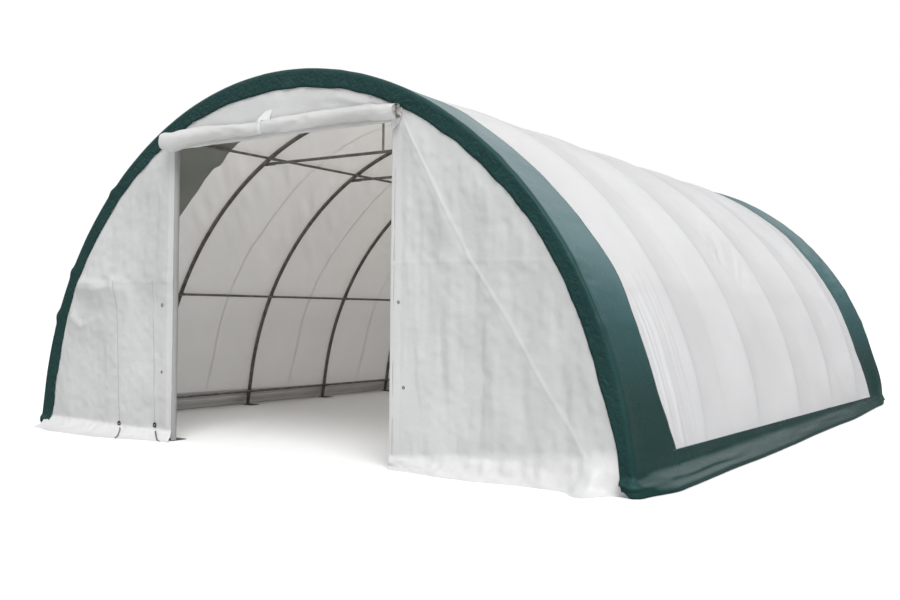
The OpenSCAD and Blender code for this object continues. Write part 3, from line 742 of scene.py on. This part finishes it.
# On a panel u runs from the doorway to the arch, and v up from where the cloth
# meets the ground, which is hung[0] high at the doorway and hung[1] more at the
# arch. Below nought v runs out along the skirt to its edge at -skirt_v.
def side_wall(side, folds, edge, hung, reaches, toe, seed):
    def place(u, v):
        top_z = hung[0] + hung[1] * u
        t = np.clip(-v / skirt_v, 0, 1)
        bend = t * math.pi / 2
        z = np.where(v < 0, top_z * (1 - np.sin(bend)), top_z + v * (wall_top - top_z))
        lying = ramp_up(t, 0.0, 0.35)
        reach = half_width_at(z, wall_in)
        reach = np.where(toe < reach, reach + (toe - reach) * lying, reach)
        x = side * (edge + u * np.maximum(reach - edge, 0.002))
        # Near the arch the lacing holds the cloth flat, and its edge is turned.
        start = 0.17 + 0.06 * ramp_up(z, 2.2, 3.4)
        held = ramp_up(under_arch(x, z), start, start + 0.17) * (1 - 0.7 * lying)
        hem = (0.002 * (1 - ramp_up(np.abs(x), edge + 0.038, edge + 0.042))
               - 0.006 * (1 - ramp_up(np.abs(x), edge, edge + 0.014)))
        # The skirt lies out over the ground and is crumpled.
        far = reaches(np.abs(x))
        out = far * (1 - np.cos(bend)) ** 0.8
        lying = lying * np.minimum(far / 0.07, 1)
        crumple = 0.012 + ripples(x, t, (0.016, 0.19, 0.32, seed), (0.011, 0.08, 0.22, seed + 1))
        out += lying * (1 - 0.5 * ramp_up(t, 0.8, 1.0)) * crumple
        lift = 0.010 + ripples(x, t, (0.014, 0.4, 0.35, seed + 2), (0.008, 0.13, 0.3, seed + 3))
        z = z + lying * lift * (1 - t) ** 0.5
        x = x + 0.62 * out * (1 - ramp_up(u, 0.0, 0.12))
        y = -wall_face - off_wall - hem - out - np.maximum(folds(x, z), -0.002) * held
        return x, y, np.maximum(z, ground_clear)
    return place


def right_reaches(x):
    reach = 0.085 + 0.08 * bell(x - 2.65, 0.5) + 0.21 * bell(x - 4.10, 0.17)
    return reach * (1 - ramp_up(x, 4.16, 4.42))


def left_reaches(x):
    return 0.12 + 0.22 * ramp_up(x, 1.7, 3.0) - 0.14 * ramp_up(x, 3.8, 4.4)


right_edge, right_hung = door_x - 0.02, (0.155, 0.235)
left_edge, left_hung, left_toe = door_x + 0.026, (0.145, 0.030), 4.42
right_place = side_wall(1, right_folds, right_edge, right_hung, right_reaches, far_off, 101)
left_place = side_wall(-1, left_folds, left_edge, left_hung, left_reaches, left_toe, 91)
for side, name, place in ((1, "right", right_place), (-1, "left", left_place)):
    wall = cut_cloth(f"front_wall_cloth_{name}", (0, 1), (-skirt_v, 1), (190, 230), place, wall_cloth,
                     unit=(half_width - door_x, wall_top))
    if side < 0:
        wall.data.flip_normals()
    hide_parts(f"front_wall_{name}", "front_skirts")


# The door edge of each side panel is a pocket sleeved over the door post. Its
# cloth is painted dark grey, as painted shade.
shaded_sleeve_cloth = woven("shaded_sleeve_cloth", (0.30, 0.30, 0.295), (0.37, 0.365, 0.36), 0.5, 0.1,
                     (0.60, 0.58, 0.55))
post_low, post_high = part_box("front_door_posts")
post_r = arch_r
for side, name in ((1, "right"), (-1, "left")):
    def sleeve(u, z, side=side):
        wide = post_r + 0.006 + 0.002 * ripple(z / 0.3, u, 87)
        x = side * (post_high.x - post_r) - side * wide * np.sin(u)
        y = (post_low.y + post_high.y) / 2 - (0.039 + 0.002 * ripple(z / 0.21, u, 88)) * np.cos(u)
        return x, y, z

    pocket = cut_cloth(f"door_sleeve_{name}", (0.0, 2.6), (0.012, door_top + 0.02), (24, 120), sleeve,
                       shaded_sleeve_cloth, unit=(0.05, 1))
    if side > 0:
        pocket.data.flip_normals()

# Tie-down tapes hang down the left panel to steel rings, and from each ring a
# webbing strap with a hook lies over the skirt. Eyelets stand along the door.
tie_web = woven("tie_web", (0.40, 0.40, 0.395), (0.50, 0.50, 0.49), 0.6,
                specular=0.3, scale=4, weave=0.5)
hook_web = woven("hook_web", (0.13, 0.13, 0.125), (0.19, 0.19, 0.18), 0.6,
                 specular=0.3, scale=4, weave=0.5)
tape_top, tape_w = 2.05, 0.014
hook_w, hook_l = 0.028, 0.24
eyes = bmesh.new()
left_panel = (left_place, left_edge, left_hung)
right_panel = (right_place, right_edge, right_hung)


def on_panel(panel, x, z, off):
    place, edge, hung = panel
    u = (np.abs(x) - edge) / (half_width_at(z, wall_in) - edge)
    foot_z = hung[0] + hung[1] * u
    x, y, z = place(u, (z - foot_z) / (wall_top - foot_z))
    return x, y - off, z


def on_left_skirt(x, t, off):
    x, y, z = left_place((np.abs(x) - left_edge) / (left_toe - left_edge), -skirt_v * t)
    return x, y - off, z + off


def eye(at, wide, thick):
    x, y, z = (float(v) for v in at)
    rim = bmesh.ops.create_circle(eyes, segments=8, radius=thick,
                                  matrix=Matrix.Translation((x + wide, y, z)))["verts"]
    edges = list(dict.fromkeys(edge for vert in rim for edge in vert.link_edges))
    bmesh.ops.rotate(eyes, verts=rim, cent=(x + wide, y, z),
                     matrix=Matrix.Rotation(math.pi / 2, 3, "X"))
    bmesh.ops.spin(eyes, geom=rim + edges, cent=(x, y, z), axis=(0, 1, 0), angle=2 * math.pi, steps=16,
                   use_merge=True)


for number, (x_top, x_ring, z_ring, x_toe) in enumerate(((-2.88, -2.762, 0.152, -2.50),
                                                         (-2.145, -2.076, 0.181, -1.88)), 1):
    def tape_point(u, z):
        return on_panel(left_panel, u + np.interp(z, (z_ring, tape_top), (x_ring, x_top)), z, 0.002)

    def hook_point(u, t):
        return on_left_skirt(u + x_ring + (x_toe - x_ring) * t, t, 0.004)

    tape = cut_cloth(f"tie_tape_{number}", (-tape_w / 2, tape_w / 2), (z_ring + 0.02, tape_top),
                     (2, 90), tape_point, tie_web)
    tape.data.flip_normals()
    strap_down = cut_cloth(f"hook_strap_{number}", (-hook_w / 2, hook_w / 2), (0.25, 1.0), (2, 24),
                           hook_point, hook_web)
    strap_down.data.flip_normals()
    eye(on_panel(left_panel, x_ring, z_ring, 0.010), 0.024, 0.009)
for panel, x, z, wide, thick in ((left_panel, -1.953, 1.73, 0.019, 0.005),
                                 (left_panel, -1.95, 0.87, 0.013, 0.005),
                                 (right_panel, 1.83, 1.78, 0.013, 0.004),
                                 (right_panel, 1.91, 0.87, 0.013, 0.004)):
    eye(on_panel(panel, x, z, 0.002), wide, thick)
wall_eyes = built(eyes, "wall_eyes", plate_zinc)
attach(wall_eyes, "root")

# Over the doorway a third panel fills the arch down to the header.
def over_door(x, v):
    top = on_arch(crown_r * np.arcsin(x / crown_r), wall_in)[1]
    z = door_top + v * (top - door_top)
    fold = 0.006 + ripples(x, z, (0.006, 0.4, 0.3, 71), (0.004, 0.13, 0.2, 72))
    fold += 0.022 * crease(x, z, ((0.95, 4.10), (1.32, 3.99), (1.74, 3.90)), 0.05)
    fold -= 0.008 * crease(x, z, ((0.8, 4.02), (1.5, 3.93)), 0.05)
    fold += 0.012 * bell(z - 3.93, 0.10) * (1 + 0.8 * ripple(x / 0.3, z / 0.2, 73))
    held = ramp_up(top - z, 0.19, 0.34)
    return x, -wall_face - off_wall - np.maximum(fold, -0.002) * held, z


top_wall = cut_cloth("front_wall_cloth_top", (-door_x - 0.01, door_x + 0.01), (0, 1), (176, 26),
                     over_door, wall_cloth)
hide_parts("front_wall_top")

# ---- Rear wall ----
# One closed wall of the same cloth, welded from four widths with upright seams
# and one across, and laced to the rear arch and posts.


def rear_place(u, z):
    x = -u * half_width_at(z, wall_in)
    fold = 0.008 + ripples(x, z, (0.008, 0.45, 2.4, 81), (0.0035, 0.14, 1.2, 82),
                           (0.003, 0.3, 0.25, 83))
    fold += 0.004 * bell(z - 2.1, 0.02)
    for seam_x in (-2.0, 0.0, 2.0):
        fold += 0.002 * bell(x - seam_x, 0.02)
    held = ramp_up(under_arch(x, z), 0.2, 0.36)
    return x, wall_face + off_wall + np.maximum(fold, -0.002) * held, z


rear_wall = cut_cloth("rear_wall_cloth", (-1, 1), (0.004, ridge_z - 0.06), (220, 100),
                      rear_place, wall_cloth)
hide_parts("rear_wall")

# ---- Rear skirt ----
# A loose white flap is welded low on the rear wall and lies out over the
# ground in crumpled folds, to be weighted down with earth.
skirt_cloth = woven("skirt_cloth", (0.62, 0.615, 0.61), (0.70, 0.70, 0.705), 0.45, 0.15,
                    (0.70, 0.69, 0.66))
skirt_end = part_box("rear_skirt")[1]
skirt_top, skirt_l = 0.22, 0.37


def rear_skirt_place(x, w):
    t = np.clip(w, 0, 1)
    bend = t * math.pi / 2
    lying = ramp_up(t, 0.0, 0.35)
    crumple = 0.012 + ripples(x, t, (0.012, 0.19, 0.32, 111), (0.008, 0.08, 0.22, 112))
    out = 0.022 + 0.23 * (1 + 0.12 * ripple(x / 0.8, 0 * x, 114)) * (1 - np.cos(bend)) + lying * crumple
    lift = 0.010 + ripples(x, t, (0.014, 0.4, 0.35, 113), (0.008, 0.13, 0.3, 115))
    z = skirt_top * (1 - np.sin(bend)) + lying * lift * (1 - t) ** 0.5
    return x, end_y + out, np.maximum(z, ground_clear)


rear_skirt = cut_cloth("rear_skirt_cloth", (skirt_end.x, -skirt_end.x), (1, 0), (280, 26),
                       rear_skirt_place, skirt_cloth)
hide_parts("rear_skirt")

# ---- Rolled-up door ----
# The door cloth hangs from the header and is wound up outwards on itself in
# loose turns. The roll is lumpy, thickest at its left end, and its ends have
# slipped a little from turn to turn.
# The door cloth is painted greyer than the cover's, as painted shade on the roll.
door_cloth = woven("door_cloth", (0.55, 0.545, 0.535), (0.64, 0.635, 0.625), 0.45, 0.06,
                   (0.70, 0.68, 0.64), creased=0.9)
roll_low, roll_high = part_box("rolled_door")
roll_z = (roll_low.z + roll_high.z) / 2
roll_r = (roll_high.z - roll_low.z) / 2
turns, layer, header_end = 10.0, 0.0068, -1.7

# Along the roll: its place, its thickness as a share of the usual one, and how
# far its middle hangs low, in millimetres.
roll_x, roll_fat, roll_sag = zip(
    (-1.86, 1.30, 0), (-1.62, 1.46, 28), (-1.39, 1.28, -12), (-1.08, 1.16, -27), (-0.61, 0.86, -24),
    (-0.25, 0.90, -4), (0.20, 1.06, -22), (0.61, 1.06, -22), (1.03, 0.95, -32), (1.47, 0.96, -21),
    (1.76, 1.06, 6), (1.86, 1.00, 5))


def roll_swell(x, angle):
    turn_x, turn_y = np.cos(angle), np.sin(angle)
    lumps = 0.14 * ripple(x / 0.42 + 1.1 * turn_x, 1.1 * turn_y, 121)
    lumps += 0.14 * ripple(x / 0.13 + 1.5 * turn_x, 1.5 * turn_y, 122)
    lumps += 0.05 * ripple(x / 0.35 + 0.5 * angle, angle / 0.33, 124)
    return np.interp(x, roll_x, roll_fat) + lumps


def roll_middle(x):
    fat = np.interp(x, roll_x, roll_fat)
    return -end_y - 0.011 - roll_r * fat * 1.02, roll_z - np.interp(x, roll_x, roll_sag) / 1000


# Above nought the cloth winds round the roll, and below it goes up to the header.
def roll_place(x, along):
    angle = -np.maximum(along, 0)
    turn = -angle / (2 * math.pi)
    radius = (roll_r - layer * turn) * roll_swell(x, angle)
    middle_y, middle_z = roll_middle(x)
    near_end = ramp_up(np.abs(x), 1.6, 1.85)
    slip = near_end * np.sign(x) * (0.014 * ripple(turn / 0.8, 0 * x, 123) - 0.002 * turn)
    hang = np.maximum(-along, 0)
    inside = ramp_up(x, -1.76, -1.60) * (1 - ramp_up(x, 1.55, 1.72))
    y = np.where(along < 0, -end_y - 0.012 - 0.012 * bell(hang, 0.6), middle_y + radius * np.cos(angle))
    z = np.where(along < 0, middle_z + hang * (0.03 + 0.05 * inside), middle_z + radius * np.sin(angle))
    return x + slip, np.minimum(y, -end_y - 0.008), z


rolled_door = cut_cloth("rolled_door_cloth", (roll_low.x + 0.06, roll_high.x),
                        (2 * math.pi * turns, header_end), (120, 330), roll_place, door_cloth,
                        unit=(1, 0.08))
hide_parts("rolled_door")

# The door cloth starts in a pocket round the header, and the end of its hem
# hangs out at the right jamb.
head_low, head_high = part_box("front_door_header")
pocket_w, tail_w, tail_l = 0.14, 0.14, 0.15


def head_pocket(x, u):
    wide = post_r + 0.007 + ripples(x, u, (0.004, 0.23, 1, 89), (0.003, 0.08, 0.5, 90))
    return (x, (head_low.y + head_high.y) / 2 - wide * np.cos(u),
            (head_low.z + head_high.z) / 2 - wide * np.sin(u))


header_pocket = cut_cloth("header_pocket", (-door_x, door_x), (-0.3, math.pi + 0.3), (160, 16),
                          head_pocket, door_cloth, unit=(1, 0.05))


def tail_place(u, v):
    x = 1.735 + 0.135 * u - 0.05 * v * u
    z = 3.80 - (0.10 + 0.07 * bell(u - 0.45, 0.35)) * v
    return x, -end_y - 0.055 - 0.03 * np.sin(u * 4) + 0.02 * v, z


door_tail = cut_cloth("door_tail", (0, 1), (0, 1), (20, 14), tail_place, door_cloth,
                      unit=(tail_w, tail_l))

# ---- Roll strap ----
# White webbing that comes down from the wall behind the roll, passes round it
# and ends in a folded loop above.
webbing_cloth = woven("webbing_cloth", (0.60, 0.60, 0.595), (0.68, 0.68, 0.67), 0.6,
                      specular=0.3, scale=4, weave=0.5)
strap_low, strap_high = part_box("roll_strap")
strap_turn = 5.2


def strap_place(x, along):
    angle = np.maximum(along, 0)
    radius = roll_r * roll_swell(x, -angle) + 0.003
    middle_y, middle_z = roll_middle(x)
    y = np.where(along < 0, -end_y - 0.006 - 0.02 * bell(along + 0.9, 0.5),
                 np.minimum(middle_y + radius * np.cos(angle), -end_y - 0.006))
    z = np.where(along < 0, middle_z - along * 0.11, middle_z - radius * np.sin(angle))
    return x, y, z


strap = cut_cloth("roll_strap_webbing", (strap_low.x, strap_high.x), (strap_turn, header_end), (4, 90),
                  strap_place, webbing_cloth)
thick = strap.modifiers.new("webbing", "SOLIDIFY")
thick.thickness = 0.002
thick.offset = 1
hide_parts("roll_strap")


def loop_place(u, v):
    bends = (0, 0.72, 0.82, 1.0)
    x = -0.06 - (0.13 + 0.05 * v) * u
    z = np.interp(v, bends, (4.05, 3.925, 3.908, 3.915)) - 0.015 * u * (1 - v)
    out = np.interp(v, bends, (0.012, 0.100, 0.096, 0.070))
    y = -end_y - 0.012 - (out - 0.012) * (0.35 + 0.65 * u) - 0.008 * np.sin(3 * u)
    return x, y, z


strap_loop = cut_cloth("roll_strap_loop", (0, 1), (0, 1), (8, 30), loop_place, webbing_cloth,
                       unit=(0.1, 0.2))
thick = strap_loop.modifiers.new("webbing", "SOLIDIFY")
thick.thickness = 0.0025
